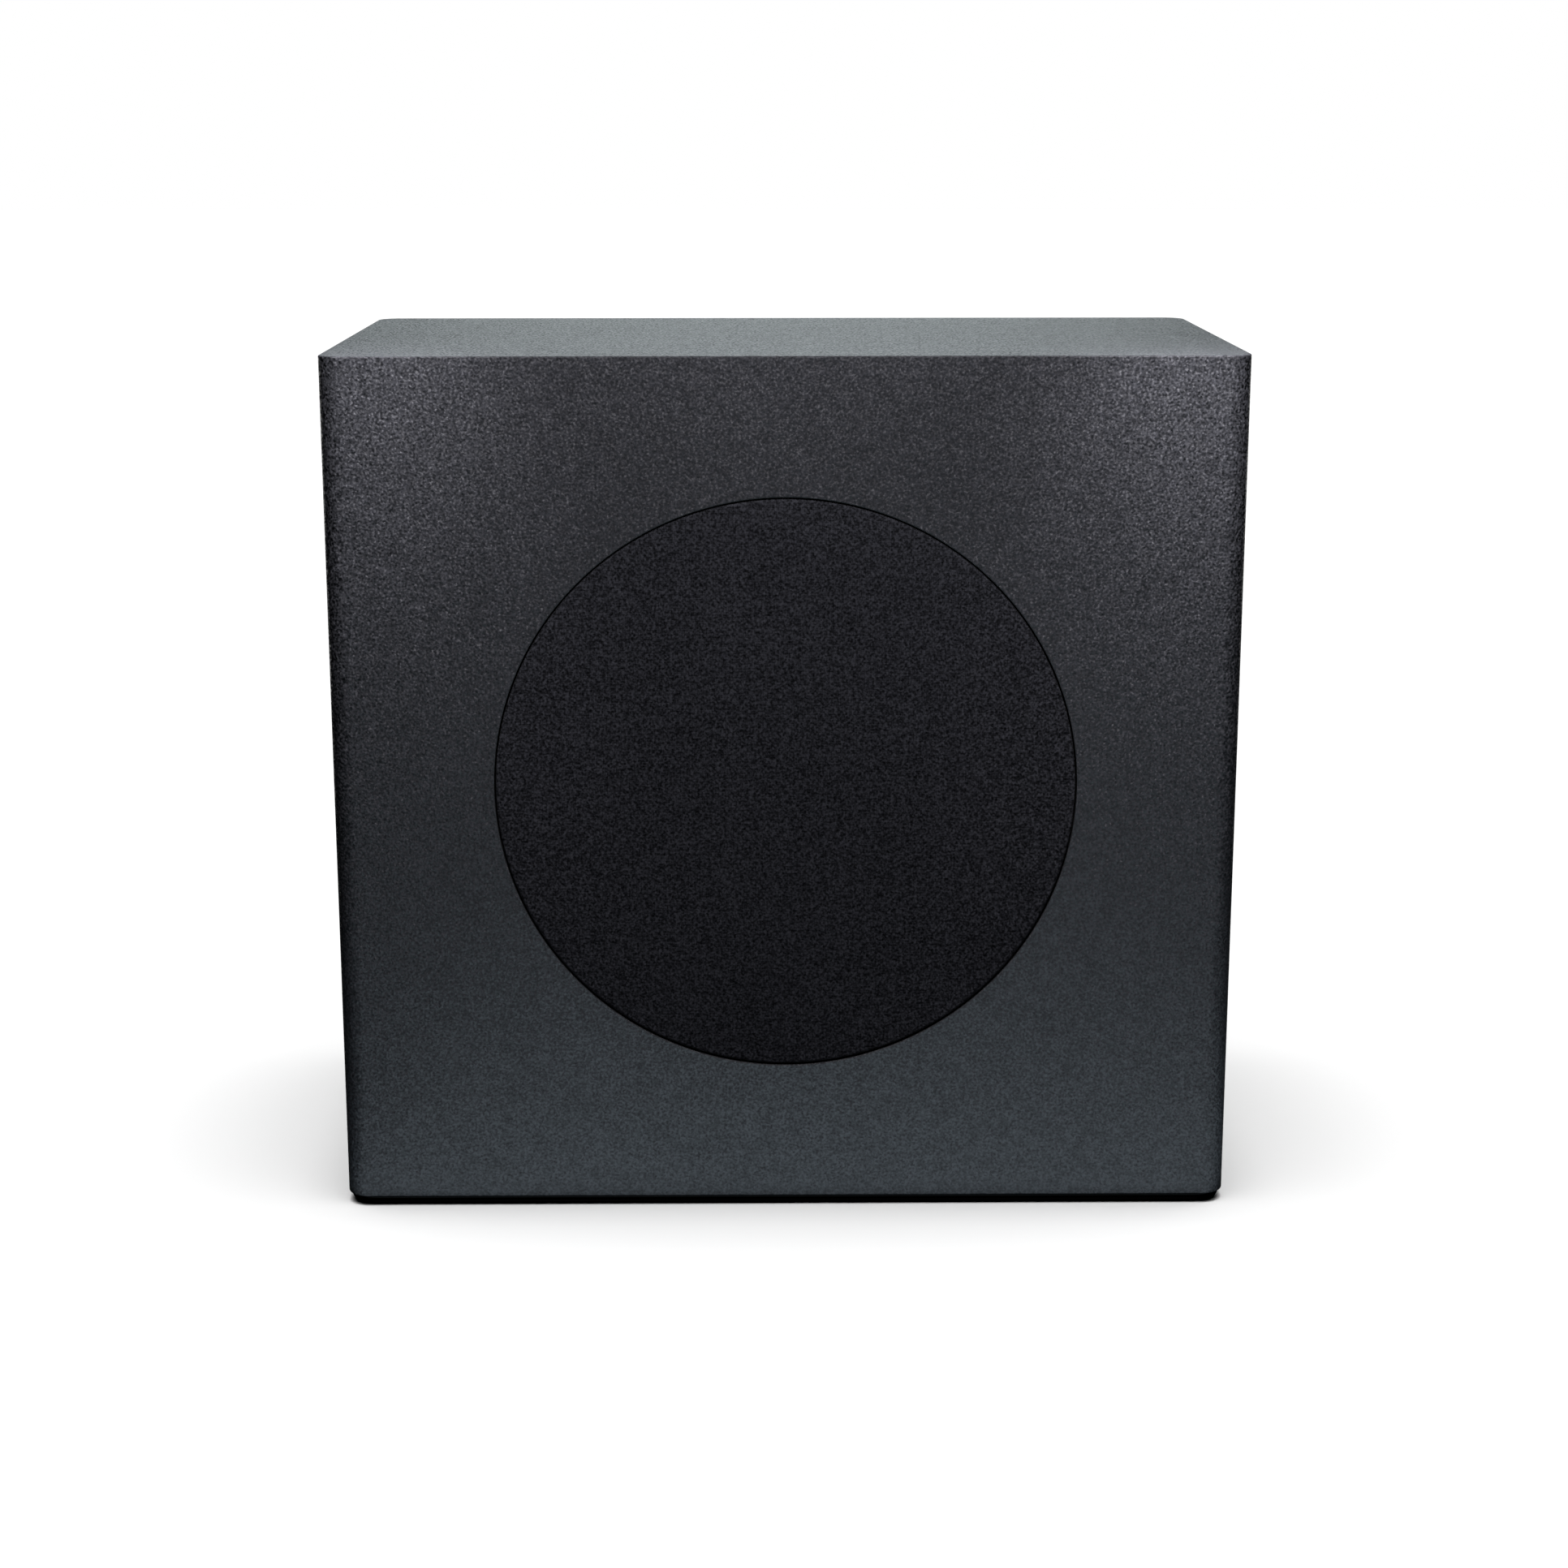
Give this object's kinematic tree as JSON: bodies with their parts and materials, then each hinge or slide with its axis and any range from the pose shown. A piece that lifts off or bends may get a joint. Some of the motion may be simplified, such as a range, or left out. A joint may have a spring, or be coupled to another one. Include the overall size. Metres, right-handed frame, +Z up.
{
  "type": "compact subwoofer",
  "caption": "Upright box-shaped wireless subwoofer in textured dark vinyl, with a flush round cloth grille on the front, a rear bass port and a recessed rear amplifier panel.",
  "frame": {"origin": "under the middle of the cabinet, on the surface that the feet stand on", "axes": "+Z up, +X to the right as seen from the front, the grille faces -Y and the amplifier panel +Y"},
  "size_m": [0.375, 0.206, 0.36],
  "materials": {
    "textured_vinyl": "fine-grained embossed vinyl wrap, dark charcoal, satin",
    "mdf": "bare medium-density fibreboard",
    "blackened_mdf": "medium-density fibreboard stained black where it shows round the grille",
    "grille_cloth": "tight black acoustic knit, matte",
    "black_plastic": "moulded ABS, fine spark texture",
    "rubber": "matte black rubber",
    "coated_paper": "black coated pulp",
    "black_steel": "black powder coat on pressed steel",
    "zinc_plate": "zinc-plated mild steel",
    "ferrite": "sintered ferrite, dull",
    "cotton_weave": "resin-impregnated cotton",
    "copper": "enamelled copper wire",
    "circuit_board": "solder-masked glass laminate",
    "aluminium": "extruded, light matt",
    "wadding": "loose polyester fibre",
    "foam": "closed-cell sealing foam",
    "light_pipe": "clear polycarbonate light pipe, unlit"
  },
  "bodies": {
    "cabinet": {"amplifier_plate": "black_steel", "back_panel": "mdf", "base_plate": "black_plastic", "bottom_panel": "mdf", "cabinet_wrap": "textured_vinyl", "damping_wadding": "wadding", "driver_baffle": "blackened_mdf", "foot_back_left": "rubber", "foot_back_right": "rubber", "foot_front_left": "rubber", "foot_front_right": "rubber", "front_baffle": "blackened_mdf", "grille_socket_1": "rubber", "grille_socket_2": "rubber", "grille_socket_3": "rubber", "grille_socket_4": "rubber", "heatsink": "aluminium", "left_panel": "mdf", "lower_tinsel_lead": "copper", "main_board": "circuit_board", "mains_inlet": "black_plastic", "pairing_switch": "black_plastic", "plate_screw_1": "black_steel", "plate_screw_2": "black_steel", "plate_screw_3": "black_steel", "plate_screw_4": "black_steel", "plate_screw_5": "black_steel", "plate_screw_6": "black_steel", "plate_seal": "foam", "pole_yoke": "zinc_plate", "port_tube": "black_plastic", "right_panel": "mdf", "ring_magnet": "ferrite", "smoothing_capacitor": "black_plastic", "speaker_cable": "rubber", "spider": "cotton_weave", "status_light": "light_pipe", "top_panel": "mdf", "top_plate": "zinc_plate", "transformer": "ferrite", "upper_tinsel_lead": "copper", "wireless_module": "zinc_plate", "woofer_basket": "black_steel", "woofer_gasket": "foam", "woofer_screw_1": "black_steel", "woofer_screw_2": "black_steel", "woofer_screw_3": "black_steel", "woofer_screw_4": "black_steel", "woofer_screw_5": "black_steel", "woofer_screw_6": "black_steel", "woofer_surround": "rubber", "woofer_terminals": "black_plastic"},
    "grille": {"grille_frame": "black_plastic", "grille_cloth": "grille_cloth"},
    "cone": {"woofer_cone": "coated_paper", "dust_cap": "coated_paper", "coil_former": "aluminium", "voice_coil": "copper"},
    "pairing_button": {"pairing_button": "black_plastic"}
  },
  "joints": [
    {"name": "grille_pull_off", "type": "slide", "parent": "cabinet", "child": "grille", "axis": [0, -1, 0], "range_m": [0, 0.06]},
    {"name": "cone_travel", "type": "slide", "parent": "cabinet", "child": "cone", "axis": [0, -1, 0], "range_m": [-0.006, 0.006], "stiffness_N_per_m": 2500, "deforming": ["woofer_surround", "spider", "upper_tinsel_lead", "lower_tinsel_lead"]},
    {"name": "pairing_button_press", "type": "slide", "parent": "cabinet", "child": "pairing_button", "axis": [0, -1, 0], "range_m": [0, 0.0008], "stiffness_N_per_m": 1800}
  ]
}
